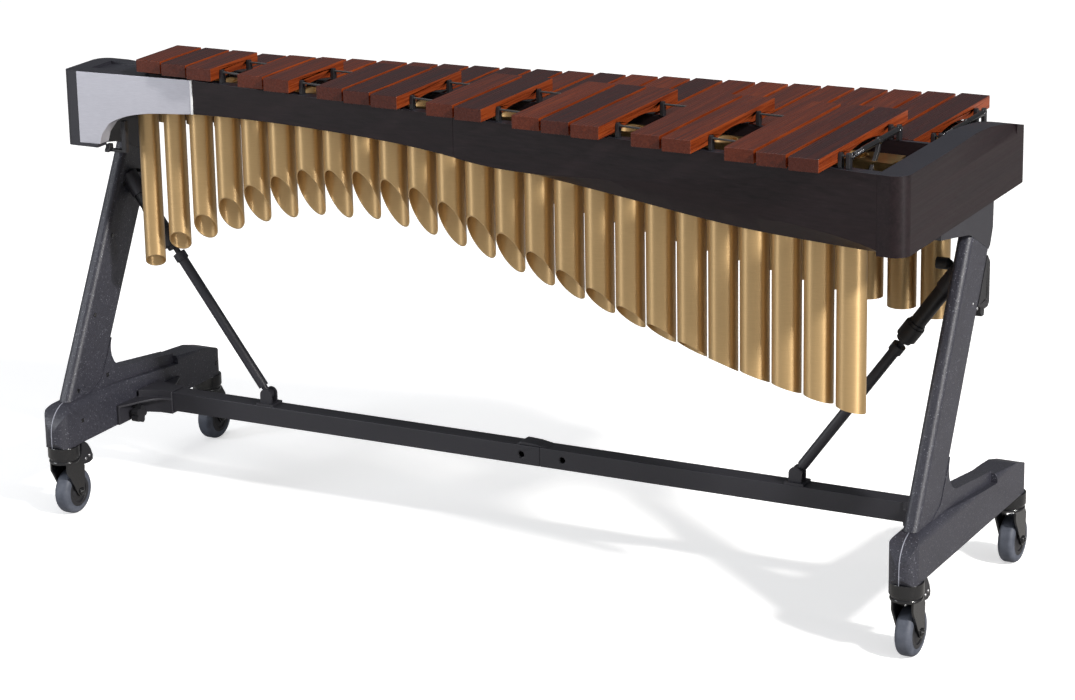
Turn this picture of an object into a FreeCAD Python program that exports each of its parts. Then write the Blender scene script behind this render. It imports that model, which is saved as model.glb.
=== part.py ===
import FreeCAD, Part
import math
import os
from FreeCAD import Vector

os.makedirs("parts", exist_ok=True)

# Concert xylophone on a wheeled, height-adjustable stand. Millimetres.
# +X is the low-note end, -Y the side with the raised accidental bars, +Z up, floor at z = 0.

# ---- keyboard ----
pitch = 55.0
bar_w = 48.0
bar_t = 21.0
nat_top = 772.2
acc_top = 806.8
nat_count = 26
nat_x0 = 687.5
acc_x0 = 660.0
acc_gaps = (3, 6, 10, 13, 17, 20, 24)
slot_count = 25
node_share = 0.224
cord_r = 1.6
cord_hole_r = 2.4
nat_cord_ends = (-732.0, 732.0)
acc_cord_ends = (-648.0, 706.0)

# ---- frame ----
rail_t = 20.0
front_top = 778.0
back_top = 743.0
frame_bottom = 655.0
low_seam_x = 751.0
low_end_x = 797.0
high_seam_x = -748.0
high_end_x = -775.0
plate_x = -530.0
inner_rail_t = 8.0
inner_rail_h = 34.0

# ---- resonators ----
wall = 1.5
deck_t = 2.0
deck_flange = 22.0
acc_deck_top = 770.0
nat_deck_top = 736.0

# ---- legs ----
leg_x = 779.0
foot_w = 48.0
foot_bottom = 129.0
lean = math.radians(27.5)
col_w = 25.0
col_depth = 84.0
col_top_y = 68.8
col_top_z = 598.0
ridge_w = 27.0
slide_w = 15.0
slide_depth = 50.0
slide_gap = 0.25
bore_depth = 345.0
slide_len = 330.0

# ---- crossbeam and braces ----
beam_y0 = 20.0
beam_y1 = 54.0
beam_z0 = 140.0
beam_z1 = 174.0
beam_wall = 2.5
beam_end_x = 715.0
flange_in_x = 750.0
foot_in_x = leg_x - foot_w / 2.0
brace_x = 500.0
brace_y = 37.0
brace_z = 192.0
brace_tan = 0.735

# ---- casters ----
caster_y = (-189.0, 263.0)
trail = 20.0
wheel_r = 40.0
wheel_w = 27.0
fork_gap = 15.0
fork_t = 3.5
hub_r = 27.0
socket_r = 27.5
socket_z0 = 108.0

# the origin is under the centre of the overall box, which the rear wheels push back a little
origin_y = 3.0

X_DIR = Vector(1, 0, 0)
Y_DIR = Vector(0, 1, 0)
Z_DIR = Vector(0, 0, 1)
col_dir = Vector(0, math.sin(lean), math.cos(lean))
col_rear = Vector(0, math.cos(lean), -math.sin(lean))


def save(name, *solids):
    solids = [s for item in solids for s in item.Solids]
    shape = solids[0] if len(solids) == 1 else Part.makeCompound(solids)
    shape.translate(Vector(0, -origin_y, 0))
    shape.exportStep("parts/" + name + ".step")


def box(x0, x1, y0, y1, z0, z1):
    return Part.makeBox(x1 - x0, y1 - y0, z1 - z0, Vector(x0, y0, z0))


def rod(p, q, r):
    axis = q.sub(p)
    return Part.makeCylinder(r, axis.Length, p, axis)


def poly(points):
    return Part.makePolygon([Vector(*p) for p in points] + [Vector(*points[0])])


def prism(points, direction):
    return Part.Face(poly(points)).extrude(direction)


def side_prism(yz, x0, x1):
    return prism([(x0, y, z) for y, z in yz], Vector(x1 - x0, 0, 0))


def plan_prism(xy, z0, z1):
    return prism([(x, y, z0) for x, y in xy], Vector(0, 0, z1 - z0))


def curve(points):
    line = Part.BSplineCurve()
    line.interpolate([Vector(*p) for p in points])
    return line.toShape()


def along(points, x):
    for (xa, va), (xb, vb) in zip(points, points[1:]):
        if xa <= x <= xb:
            return va + (vb - va) * (x - xa) / (xb - xa)
    return points[0][1] if x < points[0][0] else points[-1][1]


# ---- lines the keyboard is laid out on ----
def nat_x(i):
    return nat_x0 - pitch * i


def acc_x(j):
    return acc_x0 - pitch * j


def nat_ends(i):
    return -14.0 - 0.1 * i, 317.0 - 8.16 * i


def acc_ends(j):
    return -(317.0 - 8.30 * j), 32.0 - 1.38 * j


def line_through(x_a, y_a, x_b, y_b):
    slope = (y_b - y_a) / (x_b - x_a)
    return lambda x: y_a + slope * (x - x_a)


def node_lines(ends, xs, last):
    a0, b0 = ends(0)
    a1, b1 = ends(last)
    near = line_through(xs(0), a0 + node_share * (b0 - a0), xs(last), a1 + node_share * (b1 - a1))
    far = line_through(xs(0), b0 - node_share * (b0 - a0), xs(last), b1 - node_share * (b1 - a1))
    return near, far


nat_near, nat_far = node_lines(nat_ends, nat_x, nat_count - 1)
acc_near, acc_far = node_lines(acc_ends, acc_x, slot_count - 1)
nat_cord_z = nat_top - bar_t / 2.0
acc_cord_z = acc_top - bar_t / 2.0


# ---- bars: flat top, undercut between the two cord holes ----
def bar(x, y0, y1, top, undercut, lines, cord_z):
    length = y1 - y0
    low = top - bar_t
    a = Vector(x - bar_w / 2.0, y0 + 0.27 * length, low)
    b = Vector(x - bar_w / 2.0, y0 + 0.5 * length, low + undercut)
    c = Vector(x - bar_w / 2.0, y1 - 0.27 * length, low)
    left = x - bar_w / 2.0
    outline = [
        Part.makeLine(Vector(left, y0, low), a),
        Part.Arc(a, b, c).toShape(),
        Part.makeLine(c, Vector(left, y1, low)),
        Part.makeLine(Vector(left, y1, low), Vector(left, y1, top)),
        Part.makeLine(Vector(left, y1, top), Vector(left, y0, top)),
        Part.makeLine(Vector(left, y0, top), Vector(left, y0, low)),
    ]
    solid = Part.Face(Part.Wire(outline)).extrude(Vector(bar_w, 0, 0))
    holes = []
    for line in lines:
        p = Vector(x - pitch, line(x - pitch), cord_z)
        q = Vector(x + pitch, line(x + pitch), cord_z)
        holes.append(rod(p, q, cord_hole_r))
    return solid.cut(holes)


nat_bars = []
for i in range(nat_count):
    y0, y1 = nat_ends(i)
    nat_bars.append(bar(nat_x(i), y0, y1, nat_top, 10.0 - 0.32 * i, (nat_near, nat_far), nat_cord_z))
save("natural_bars_low", *nat_bars[:14])
save("natural_bars_high", *nat_bars[14:])

acc_slots = [j for j in range(slot_count) if j not in acc_gaps]
acc_bars = []
for j in acc_slots:
    y0, y1 = acc_ends(j)
    acc_bars.append(bar(acc_x(j), y0, y1, acc_top, 10.0 - 0.32 * j, (acc_near, acc_far), acc_cord_z))
save("accidental_bars_low", *acc_bars[:10])
save("accidental_bars_high", *acc_bars[10:])


# ---- front rail: two halves, arched underneath, the low half slanted along its lower edge ----
def rail_front(x):
    return acc_near(x) - rail_t / 2.0


def arched_rail(x0, x1, front_low, back_low, front_y, back_y, top):
    wires = []
    for pts, y in ((front_low, front_y), (back_low, back_y)):
        a = Vector(x0, y(x0), top)
        b = Vector(x1, y(x1), top)
        low = [(x, y(x), z) for x, z in pts]
        edges = [Part.makeLine(a, b), Part.makeLine(b, Vector(*low[-1])), curve(low[::-1]),
                 Part.makeLine(Vector(*low[0]), a)]
        wires.append(Part.Wire(edges))
    return Part.makeLoft(wires, True, True)


low_front_edge = [(0.0, 711.0), (110.0, 703.0), (200.0, 706.0), (275.0, 711.0), (360.0, 709.0),
                  (450.0, 701.0), (535.0, 692.0), (620.0, 684.0), (690.0, 676.0), (low_seam_x, 663.0)]
low_back_edge = [(0.0, 711.0), (126.0, 699.0), (236.0, 688.0), (343.0, 677.0), (449.0, 666.0),
                 (552.0, 659.0), (640.0, 656.5), (690.0, 655.5), (low_seam_x, frame_bottom)]
high_edge = [(plate_x + 4.0, 720.0), (-380.0, 725.0), (-240.0, 724.5), (-140.0, 722.0), (0.0, 711.0)]


def rail_back(x):
    return rail_front(x) + rail_t


save("front_rail_low_half",
     arched_rail(0.0, low_seam_x, low_front_edge, low_back_edge, rail_front, rail_back, front_top))
save("front_rail_high_half",
     arched_rail(plate_x + 4.0, 0.0, high_edge, high_edge, rail_front, rail_back, front_top))

# bright trim strip and the brushed plate block that closes the high end of the front rail
strip = plan_prism([(plate_x, rail_front(plate_x) - 1.5), (plate_x + 4.0, rail_front(plate_x + 4.0) - 1.5),
                    (plate_x + 4.0, rail_back(plate_x + 4.0)), (plate_x, rail_back(plate_x))],
                   720.0, front_top)
plate_front = line_through(plate_x, rail_front(plate_x), high_seam_x, -131.0)
plate_back = line_through(plate_x, rail_back(plate_x), high_seam_x, -104.0)
plate_edge = [(-690.0, 691.0), (-663.0, 704.0), (-630.0, 712.0), (-575.0, 717.0), (plate_x, 720.0)]


def plate_block():
    wires = []
    for y in (plate_front, plate_back):
        p = [Vector(high_seam_x, y(high_seam_x), frame_bottom), Vector(high_seam_x, y(high_seam_x), front_top),
             Vector(plate_x, y(plate_x), front_top), Vector(plate_x, y(plate_x), 720.0)]
        foot_a = Vector(-709.0, y(-709.0), frame_bottom)
        foot_b = Vector(-704.0, y(-704.0), 672.0)
        low = [(x, y(x), z) for x, z in plate_edge]
        edges = [Part.makeLine(p[0], p[1]), Part.makeLine(p[1], p[2]), Part.makeLine(p[2], p[3]),
                 curve(low[::-1]), Part.makeLine(Vector(*low[0]), foot_b), Part.makeLine(foot_b, foot_a),
                 Part.makeLine(foot_a, p[0])]
        wires.append(Part.Wire(edges))
    return Part.makeLoft(wires, True, True)


save("trim_strip", strip)
save("silver_end_plate", plate_block())

# back rail under the outer ends of the naturals
back = [(x, nat_far(x) + dy) for x, dy in ((high_seam_x, -10.0), (low_seam_x, -10.0))]
back += [(x, nat_far(x) + dy) for x, dy in ((low_seam_x, 10.0), (high_seam_x, 10.0))]
save("back_rail", plan_prism(back, frame_bottom, back_top))


# ---- end panels ----
def rounded_plan(points, radius, z0, z1, corners):
    block = plan_prism(points, z0, z1)
    edges = []
    for edge in block.Edges:
        a = edge.Vertexes[0].Point
        b = edge.Vertexes[-1].Point
        if abs(a.z - b.z) < 1.0:
            continue
        if any(abs(a.x - cx) < 0.5 and abs(a.y - cy) < 0.5 for cx, cy in corners):
            edges.append(edge)
    return block.makeFillet(radius, edges)


def end_panel(x0, x1, y_front, y_back, flat_to, radius, corners, plan):
    top = [(x0, flat_to, front_top), (x0, flat_to + 0.45 * (y_back - flat_to), front_top - 9.0),
           (x0, y_back, back_top)]
    outline = [Part.makeLine(Vector(x0, y_front, frame_bottom), Vector(x0, y_front, front_top)),
               Part.makeLine(Vector(x0, y_front, front_top), Vector(*top[0])),
               curve(top),
               Part.makeLine(Vector(*top[-1]), Vector(x0, y_back, frame_bottom)),
               Part.makeLine(Vector(x0, y_back, frame_bottom), Vector(x0, y_front, frame_bottom))]
    profile = Part.Face(Part.Wire(outline)).extrude(Vector(x1 - x0, 0, 0))
    return profile.common(rounded_plan(plan, radius, frame_bottom, front_top + 5.0, corners))


low_front_y = rail_front(low_end_x)
low_back_y = nat_far(low_seam_x) + rail_t / 2.0
low_plan = [(low_seam_x, rail_front(low_seam_x)), (low_end_x, low_front_y), (low_end_x, low_back_y),
            (low_seam_x, low_back_y)]
low_corners = [(low_end_x, low_front_y), (low_end_x, low_back_y)]
low_panel = end_panel(low_seam_x, low_end_x, low_front_y, low_back_y, 40.0, 24.0, low_corners, low_plan)


# shallow scoop along the outer face above a level crease, deepest towards the rear corner
def scoop_section(y, depth):
    x = low_end_x
    return poly([(x + 5.0, y, 739.0), (x, y, 739.0), (x - depth, y, 785.0), (x + 5.0, y, 785.0)])


scoop = Part.makeLoft([scoop_section(-90.0, 0.4), scoop_section(209.0, 12.0)], True, True)
save("low_end_panel", low_panel.cut(scoop))

high_front_y = -131.0
high_back_y = nat_far(high_seam_x) + rail_t / 2.0
high_plan = [(high_end_x, high_front_y), (high_seam_x, high_front_y), (high_seam_x, high_back_y),
             (high_end_x, high_back_y)]
high_corners = [(high_end_x, high_front_y), (high_end_x, high_back_y)]
high_panel = end_panel(high_end_x, high_seam_x, high_front_y, high_back_y, -40.0, 12.0, high_corners, high_plan)
lip = rounded_plan([(high_end_x, high_front_y), (-712.0, high_front_y), (-712.0, -105.0), (high_end_x, -105.0)],
                   12.0, frame_bottom - 6.0, frame_bottom, [(high_end_x, high_front_y)])
# flat cover with a sunk tray, over the place of the missing last accidental bar
cover_x = -626.0
cover_low = 770.5
tray_floor = 772.5


def cover_edge(x):
    return acc_far(x) - inner_rail_t / 2.0


cover = plan_prism([(high_seam_x, plate_back(high_seam_x)), (cover_x, plate_back(cover_x)),
                    (cover_x, cover_edge(cover_x)), (high_seam_x, cover_edge(high_seam_x))], cover_low, front_top)
cover = cover.cut(box(-741.0, -662.0, -96.0, -38.0, tray_floor, front_top + 1.0))
save("high_end_panel", high_panel.fuse(lip), cover)


# ---- inner rails that carry the two inner cord lines ----
def straight_rail(line, half, z0, z1, x0, x1):
    pts = [(x0, line(x0) - half), (x1, line(x1) - half), (x1, line(x1) + half), (x0, line(x0) + half)]
    return plan_prism(pts, z0, z1)


half_inner = inner_rail_t / 2.0
save("inner_rails",
     straight_rail(acc_far, half_inner, front_top - inner_rail_h, front_top, high_seam_x, low_seam_x),
     straight_rail(nat_near, half_inner, back_top - inner_rail_h, back_top, high_seam_x, low_seam_x))


# ---- cord posts, cords and tension springs ----
def post(x, line, base, cord_z):
    y = line(x)
    top = cord_z + 4.5
    yz = [(y - 5.0, base), (y + 6.0, base), (y + 6.0, cord_z - 5.0), (y + 3.0, top), (y - 3.0, top),
          (y - 5.0, cord_z - 2.0)]
    hole = rod(Vector(x - 10, line(x - 10), cord_z), Vector(x + 10, line(x + 10), cord_z), cord_r + 0.1)
    return side_prism(yz, x - 2.8, x + 2.8).cut(hole)


nat_post_x = [acc_x0 + pitch - pitch * k for k in range(nat_count + 1)]
acc_post_x = sorted({acc_x(j) + s * pitch / 2.0 for j in acc_slots for s in (-1, 1)})
posts = []
for x in nat_post_x:
    posts.append(post(x, nat_near, back_top, nat_cord_z))
    posts.append(post(x, nat_far, back_top, nat_cord_z))
for x in acc_post_x:
    posts.append(post(x, acc_near, front_top, acc_cord_z))
    posts.append(post(x, acc_far, front_top, acc_cord_z))
save("cord_posts", *posts)


# each cord runs out along one line, crosses over at the high end and comes back along the other
def cord(near, far, z, x_low, x_high):
    bend = 8.0
    a0 = Vector(x_low, near(x_low), z)
    a1 = Vector(x_high + bend, near(x_high + bend), z)
    b1 = Vector(x_high + bend, far(x_high + bend), z)
    b0 = Vector(x_low, far(x_low), z)
    mid_a = Vector(x_high, near(x_high + bend) + bend, z)
    mid_b = Vector(x_high, far(x_high + bend) - bend, z)
    runs = [rod(a0, a1, cord_r), rod(b1, b0, cord_r), rod(mid_a, mid_b, cord_r),
            rod(a1, mid_a, cord_r), rod(b1, mid_b, cord_r)]
    knots = [Part.makeSphere(cord_r, p) for p in (a1, mid_a, mid_b, b1)]
    whole = runs[0]
    for piece in runs[1:] + knots:
        whole = whole.fuse(piece)
    return whole


save("bar_cords",
     cord(acc_near, acc_far, acc_cord_z, acc_cord_ends[1], acc_cord_ends[0]),
     cord(nat_near, nat_far, nat_cord_z, nat_cord_ends[1], nat_cord_ends[0]))


def spring_link(near, far, z, x):
    y0 = near(x)
    y1 = far(x)
    eye = 5.0
    ring_a = Part.makeTorus(eye, 1.2, Vector(x + 1.2 + eye + cord_r, y0, z), Z_DIR)
    coil = Part.makeCylinder(4.0, y1 - y0 - 24.0, Vector(x + 8.0, y0 + 12.0, z), Y_DIR)
    core = Part.makeCylinder(2.6, y1 - y0 - 24.0, Vector(x + 8.0, y0 + 12.0, z), Y_DIR)
    ring_b = Part.makeTorus(eye, 1.2, Vector(x + 1.2 + eye + cord_r, y1, z), Z_DIR)
    return [ring_a.cut(rod(Vector(x - 5, y0, z), Vector(x, y0, z), 2.0)), coil.cut(core), ring_b]


links = spring_link(acc_near, acc_far, acc_cord_z, acc_cord_ends[1])
links += spring_link(nat_near, nat_far, nat_cord_z, nat_cord_ends[1])
save("cord_springs", *links)


# ---- resonator banks ----
def tube_line_acc(x):
    return -90.6 - 0.0577 * x


def tube_line_nat(x):
    return 98.8 + 0.0745 * x


def tube_r(j):
    if j < 19:
        return 23.5
    return {19: 23.0, 20: 22.5, 21: 21.75, 22: 20.0, 23: 18.75}.get(j, 17.5)


arch = [(-660.0, 438.0), (-605.0, 480.0), (-550.0, 512.0), (-495.0, 541.0), (-440.0, 565.0), (-385.0, 583.0),
        (-330.0, 597.0), (-220.0, 605.0), (-110.0, 591.0), (0.0, 561.0), (165.0, 503.0), (330.0, 445.0),
        (440.0, 408.0), (550.0, 387.0), (660.0, 369.0)]
tilt_y = [(-660.0, 0.7), (-605.0, 1.0), (-550.0, 1.25), (-495.0, 1.5), (-385.0, 1.8), (-275.0, 1.95),
          (-110.0, 1.9), (55.0, 1.6), (165.0, 1.2), (330.0, 0.75), (495.0, 0.35), (660.0, 0.15)]
tilt_x = [(-660.0, 0.45), (-550.0, 0.35), (-495.0, 0.28), (-440.0, 0.0), (-330.0, -0.24), (-220.0, -0.38),
          (440.0, -0.3), (660.0, -0.2)]


def slanted_tube(x, y, r, top, z_cut, slope_x, slope_y):
    drop = 300.0
    outer = Part.makeCylinder(r, top - z_cut + drop, Vector(x, y, z_cut - drop))
    inner = Part.makeCylinder(r - wall, top - z_cut + drop, Vector(x, y, z_cut - drop))
    normal = Vector(slope_x, -slope_y, -1.0)
    below = Part.makeCylinder(600.0, 600.0, Vector(x, y, z_cut), normal)
    return outer.cut(inner).cut(below)


acc_tubes = []
for j in range(slot_count):
    x = acc_x(j)
    acc_tubes.append(slanted_tube(x, tube_line_acc(x), tube_r(j), acc_deck_top, along(arch, x),
                                  along(tilt_x, x), along(tilt_y, x)))
save("accidental_resonator_tubes", *acc_tubes)

nat_tubes = []
for i in range(nat_count):
    x = nat_x(i)
    r = tube_r(min(i, 24))
    low = min(660.0, 447.0 + 0.2 * (nat_x0 - x))
    nat_tubes.append(slanted_tube(x, tube_line_nat(x), r, nat_deck_top, low, 0.0, 0.0))
save("natural_resonator_tubes", *nat_tubes)


def deck(line, half, top, holes):
    xs = [x for x, h in half]
    near = [(x, line(x) - h) for x, h in half]
    far = [(x, line(x) + h) for x, h in half]
    body = plan_prism(near + far[::-1], top - deck_t, top)
    body = body.cut([Part.makeCylinder(r, 20.0, Vector(x, line(x), top - 10.0)) for x, r in holes])
    for s in (-1, 1):
        outer = [(x, line(x) + s * h) for x, h in half]
        inner = [(x, line(x) + s * (h - deck_t)) for x, h in half]
        body = body.fuse(plan_prism(outer + inner[::-1], top - deck_flange, top - deck_t))
    for x0, x1 in ((high_seam_x, xs[0]), (xs[-1], low_seam_x)):
        y = line(0.5 * (x0 + x1))
        body = body.fuse(box(x0, x1, y - 9.0, y + 9.0, top - deck_t, top))
    return body


acc_holes = [(acc_x(j), tube_r(j)) for j in range(slot_count)]
nat_holes = [(nat_x(i), tube_r(min(i, 24))) for i in range(nat_count)]
acc_half = [(-735.0, 17.4), (-690.0, 19.6), (-605.0, 22.6), (-520.0, 26.0), (-30.0, 28.0), (735.0, 28.0)]
nat_half = [(-735.0, 20.0), (-690.0, 21.5), (-500.0, 26.0), (55.0, 28.0), (735.0, 28.0)]
save("accidental_resonator_deck", deck(tube_line_acc, acc_half, acc_deck_top, acc_holes))
save("natural_resonator_deck", deck(tube_line_nat, nat_half, nat_deck_top, nat_holes))


# ---- legs: foot with its ridge, leaning box column, sliding bar and top gusset ----
def col_point(side, s, t):
    top = Vector(side * leg_x, col_top_y, col_top_z)
    return top + col_dir * s + col_rear * t


# a bar along the column, from s0 to s1, with a round nose in front and softer corners behind
def column_bar(side, s0, s1, width, t0, t1, nose, heel):
    def at(x, t):
        return col_point(side, s0, t) + X_DIR * x

    h = width / 2.0
    c = 1.0 - math.sqrt(0.5)
    edges = []
    corners = [(-h, t0, nose, 1, 1), (h, t0, nose, -1, 1), (h, t1, heel, -1, -1), (-h, t1, heel, 1, -1)]
    starts = []
    for k, (x, t, r, sx, st) in enumerate(corners):
        on_side = at(x, t + st * r)
        on_end = at(x + sx * r, t)
        mid = at(x + sx * r * c, t + st * r * c)
        first, last = (on_side, on_end) if k % 2 == 0 else (on_end, on_side)
        starts.append((first, last))
        edges.append(Part.Arc(first, mid, last).toShape())
    for k in range(4):
        edges.append(Part.makeLine(starts[k][1], starts[(k + 1) % 4][0]))
    wire = Part.Wire(Part.__sortEdges__(edges))
    return Part.Face(wire).extrude(col_dir * (s1 - s0))


def side_span(side, width):
    return side * leg_x - width / 2.0, side * leg_x + width / 2.0


# points of a round corner of the given radius, between two directions that leave the corner
def round_corner(corner, toward_a, toward_b, radius, steps):
    a = Vector(0, *toward_a).normalize()
    b = Vector(0, *toward_b).normalize()
    half = 0.5 * a.getAngle(b)
    start = Vector(0, *corner)
    centre = start + (a + b).normalize() * (radius / math.sin(half))
    first = start + a * (radius / math.tan(half)) - centre
    last = start + b * (radius / math.tan(half)) - centre
    points = []
    for k in range(steps + 1):
        f = k / steps
        spoke = (first * (1.0 - f) + last * f).normalize() * radius
        points.append((centre.y + spoke.y, centre.z + spoke.z))
    return points


nose_y = -222.0
nose_r = 48.0
shoulder_z = 204.0
shoulder_r = 16.0


# domed in front, shouldered along its top edges, with a narrower ridge that sweeps up into the column
def foot(side):
    x0, x1 = side_span(side, foot_w)
    nose = round_corner((nose_y, shoulder_z), (1.0, 0.0), (0.0, -1.0), nose_r, 12)
    low = [(nose_y + 9.0, foot_bottom), (280.0, foot_bottom), (286.0, 135.0), (286.0, 160.0), (279.0, 171.0),
           (266.0, 180.0), (226.0, 191.0), (138.0, 200.0), (138.0, 185.0), (0.0, 198.0), (-60.0, 203.0),
           (-140.0, shoulder_z)] + nose + [(nose_y, 140.0)]
    body = side_prism(low, x0, x1)
    r = foot_w / 2.0
    ends = [Part.makeCylinder(r, 300.0, Vector(side * leg_x, y, 0.0)) for y in (nose_y + r, 262.0)]
    body = body.common(box(x0, x1, nose_y + r, 262.0, 0.0, 300.0).fuse(ends))
    section = box(x0, x1, -300.0, 300.0, 0.0, shoulder_z + 0.5)
    shoulders = [e for e in section.Edges if e.Length > 500.0 and e.Vertexes[0].Z > shoulder_z]
    body = body.common(section.makeFillet(shoulder_r, shoulders))
    x0, x1 = side_span(side, ridge_w)
    ridge_top = (212.5, -27.5)
    sweep = round_corner((-74.5, 231.6), (col_dir.y, col_dir.z), ridge_top, 42.0, 9)
    ridge = [(-150.0, 160.0), (138.0, 160.0), (138.0, 204.0)] + sweep[::-1] + [(-84.0, 220.0), (-120.0, 204.0)]
    body = body.fuse(side_prism(ridge, x0, x1))
    for y in caster_y:
        body = body.cut(Part.makeCylinder(6.06, 30.0, Vector(side * leg_x, y, foot_bottom - 5.0)))
    for y in knob_y:
        start = Vector(side * (foot_in_x - 5.0), y, knob_z)
        body = body.cut(Part.makeCylinder(4.06, 20.0, start, X_DIR * side))
    return body.removeSplitter()


knob_y = (-20.0, 94.0)
knob_z = 140.5


# the height knob sits on the inner side of the column, with its stem through to the sliding bar
lock_y = 61.0
lock_z = 561.0


def knob_point(side, s):
    return Vector(side * (leg_x - slide_w / 2.0 - 0.4 - s), lock_y, lock_z)


def column(side, base):
    half = col_depth / 2.0
    body = column_bar(side, -520.0, 0.0, col_w, -half, half, 10.0, 4.0)
    hollow = slide_depth / 2.0 + slide_gap
    bore = column_bar(side, -bore_depth, 5.0, slide_w + 2.0 * slide_gap, -hollow, hollow, 2.0, 2.0)
    pin = rod(knob_point(side, -2.0), knob_point(side, 30.0), 3.06)
    below = box(side * leg_x - 40.0, side * leg_x + 40.0, -400.0, 400.0, 0.0, 204.0)
    body = body.cut([bore, pin, base, below])
    return max(body.Solids, key=lambda piece: piece.Volume)


def gusset(side):
    half = col_depth / 2.0
    a = col_point(side, 0.4, -half)
    b = col_point(side, 0.4, half)
    yz = [(-100.0, frame_bottom), (-100.0, 643.0), (18.0, 623.0), (a.y, a.z), (b.y, b.z), (b.y + 7.0, b.z + 5.0),
          (124.0, 610.0), (126.0, frame_bottom)]
    x0, x1 = side_span(side, col_w)
    body = side_prism(yz, x0, x1)
    reach = slide_depth / 2.0
    return body.cut(column_bar(side, -10.0, 45.0, slide_w, -reach, reach, 1.75, 1.75))


def slide_bar(side):
    reach = slide_depth / 2.0
    outer = column_bar(side, -slide_len, 45.0, slide_w, -reach, reach, 1.75, 1.75)
    core = reach - 3.0
    return outer.cut(column_bar(side, -slide_len - 1.0, 35.0, slide_w - 6.0, -core, core, 1.0, 1.0))


# wedge-shaped clamp block on the column's rear edge, with a slot for its lever
clamp_y = 98.0
clamp_z = 500.0


def clamp_housing(side, col):
    yz = [(70.0, 590.0), (101.0, 572.0), (113.0, 558.0), (112.0, 492.0), (106.0, 486.0), (92.0, 486.0),
          (60.0, 499.0), (40.0, 520.0)]
    x0, x1 = side_span(side, col_w + 2.0)
    half = col_depth / 2.0
    block = side_prism(yz, x0, x1).cut(column_bar(side, -200.0, 60.0, 60.0, -half - 40.0, half, 1.0, 1.0))
    block = max(block.Solids, key=lambda piece: piece.Volume)
    slot = box(side * leg_x - 6.0, side * leg_x + 6.0, clamp_y - 14.0, clamp_y + 30.0, 470.0, clamp_z + 14.0)
    pin = Part.makeCylinder(3.06, 60.0, Vector(side * leg_x - 30.0, clamp_y, clamp_z), X_DIR)
    return block.cut([slot, pin])


def clamp_lever(side):
    x = side * leg_x
    boss = Part.makeCylinder(7.0, 11.0, Vector(x - 5.5, clamp_y, clamp_z), X_DIR)
    pin = Part.makeCylinder(3.0, 26.0, Vector(x - 13.0, clamp_y, clamp_z), X_DIR)
    yz = [(clamp_y - 6.0, clamp_z), (clamp_y - 4.0, clamp_z - 22.0), (clamp_y + 2.0, clamp_z - 30.0),
          (clamp_y + 12.0, clamp_z - 30.0), (clamp_y + 14.0, clamp_z - 24.0), (clamp_y + 6.0, clamp_z)]
    return boss.fuse(pin).fuse(side_prism(yz, x - 5.5, x + 5.5))


def height_knob(side):
    stem = rod(knob_point(side, 0.0), knob_point(side, 28.0), 3.0)
    axis = X_DIR * -side
    shoulder = Part.makeCone(5.0, 9.5, 7.0, knob_point(side, 22.0), axis)
    grip = Part.makeCylinder(9.5, 18.0, knob_point(side, 29.0), axis)
    return stem.fuse(shoulder).fuse(grip)


columns = []
for name, side in (("high", -1), ("low", 1)):
    base = foot(side)
    save(name + "_foot", base)
    columns.append(column(side, base))
    save(name + "_column", columns[-1])
    save(name + "_clamp_lever", clamp_lever(side))
    save(name + "_height_knob", height_knob(side))
save("frame_gussets", gusset(-1), gusset(1))
save("slide_bars", slide_bar(-1), slide_bar(1))
save("clamp_housings", clamp_housing(-1, columns[0]), clamp_housing(1, columns[1]))


# ---- crossbeam: two halves on an inner sleeve, flared brackets and star knobs ----
def beam_half(x0, x1):
    outer = box(x0, x1, beam_y0, beam_y1, beam_z0, beam_z1)
    inner = box(x0 - 1, x1 + 1, beam_y0 + beam_wall, beam_y1 - beam_wall, beam_z0 + beam_wall,
                beam_z1 - beam_wall)
    return outer.cut(inner)


sleeve_x = (-40.0, 120.0)
joint_x = 40.0
through_x = (5.0, 82.0)
hole_z = 157.0


def cross_hole(x):
    return Part.makeCylinder(5.5, 60.0, Vector(x, beam_y0 - 10.0, hole_z), Y_DIR)


holes = [cross_hole(x) for x in through_x]
save("crossbeam_high_half", beam_half(-beam_end_x, joint_x).cut(holes))
save("crossbeam_low_half", beam_half(joint_x, beam_end_x).cut(holes))
inset = beam_wall
sleeve = box(sleeve_x[0], sleeve_x[1], beam_y0 + inset, beam_y1 - inset, beam_z0 + inset, beam_z1 - inset)
sleeve = sleeve.cut(box(sleeve_x[0] - 1, sleeve_x[1] + 1, beam_y0 + 5.0, beam_y1 - 5.0, beam_z0 + 5.0,
                        beam_z1 - 5.0))
hump = [(-5.0, 0.0), (4.0, 5.5), (30.0, 4.2), (56.0, 0.0)]
saddle = prism([(x, beam_y0 + 2.0, beam_z1 + h) for x, h in hump], Vector(0, beam_y1 - beam_y0 - 4.0, 0))
save("crossbeam_sleeve", sleeve.cut(holes), saddle)


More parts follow.
